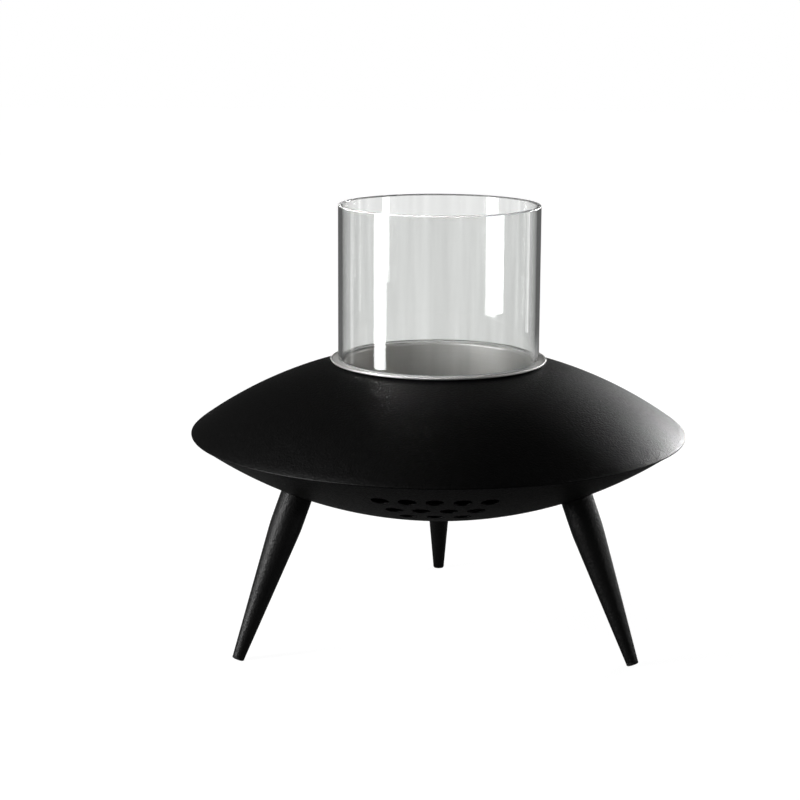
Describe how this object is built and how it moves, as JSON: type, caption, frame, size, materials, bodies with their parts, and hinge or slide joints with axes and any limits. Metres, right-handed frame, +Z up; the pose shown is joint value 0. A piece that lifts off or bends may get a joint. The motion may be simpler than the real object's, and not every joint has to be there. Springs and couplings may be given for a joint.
{
  "type": "outdoor charcoal stove",
  "caption": "Saucer-shaped black steel outdoor stove on tapered legs, with vents in its underside, a steel fire bowl with a grate and a clear glass chimney that lift out.",
  "frame": {"origin": "floor level on the stove's upright axis, midway between the three feet", "axes": "+Z up along the axis of bowl and chimney, -Y towards the front, where a group of vents lies between two legs"},
  "size_m": [0.37, 0.37, 0.326],
  "materials": {
    "black_coat": "fine-textured matte",
    "leg_coat": "satin",
    "pad_rubber": "matte",
    "plated_steel": "zinc plated",
    "stainless_steel": "satin",
    "grate_steel": "mill",
    "clear_glass": "clear"
  },
  "bodies": {
    "saucer": {"upper_shell": "black_coat", "lower_shell": "black_coat", "leg_front_left": "leg_coat", "leg_front_right": "leg_coat", "leg_rear": "leg_coat", "foot_pad_front_left": "pad_rubber", "foot_pad_front_right": "pad_rubber", "foot_pad_rear": "pad_rubber", "leg_washers": "plated_steel", "leg_bolts": "plated_steel", "upper_lug_front_left": "black_coat", "upper_lug_front_right": "black_coat", "upper_lug_rear": "black_coat", "lower_lug_front_left": "black_coat", "lower_lug_front_right": "black_coat", "lower_lug_rear": "black_coat", "lug_screws": "plated_steel", "lug_nuts": "plated_steel"},
    "bowl": {"fire_bowl": "stainless_steel"},
    "grate": {"grate_plate": "grate_steel", "grate_feet": "grate_steel"},
    "glass": {"glass_chimney": "clear_glass"}
  },
  "joints": [
    {"name": "bowl_lift", "type": "slide", "parent": "saucer", "child": "bowl", "axis": [0, 0, 1], "range_m": [0, 0.12]},
    {"name": "glass_lift", "type": "slide", "parent": "bowl", "child": "glass", "axis": [0, 0, 1], "range_m": [0, 0.15]},
    {"name": "grate_lift", "type": "slide", "parent": "bowl", "child": "grate", "axis": [0, 0, 1], "range_m": [0, 0.2]}
  ]
}
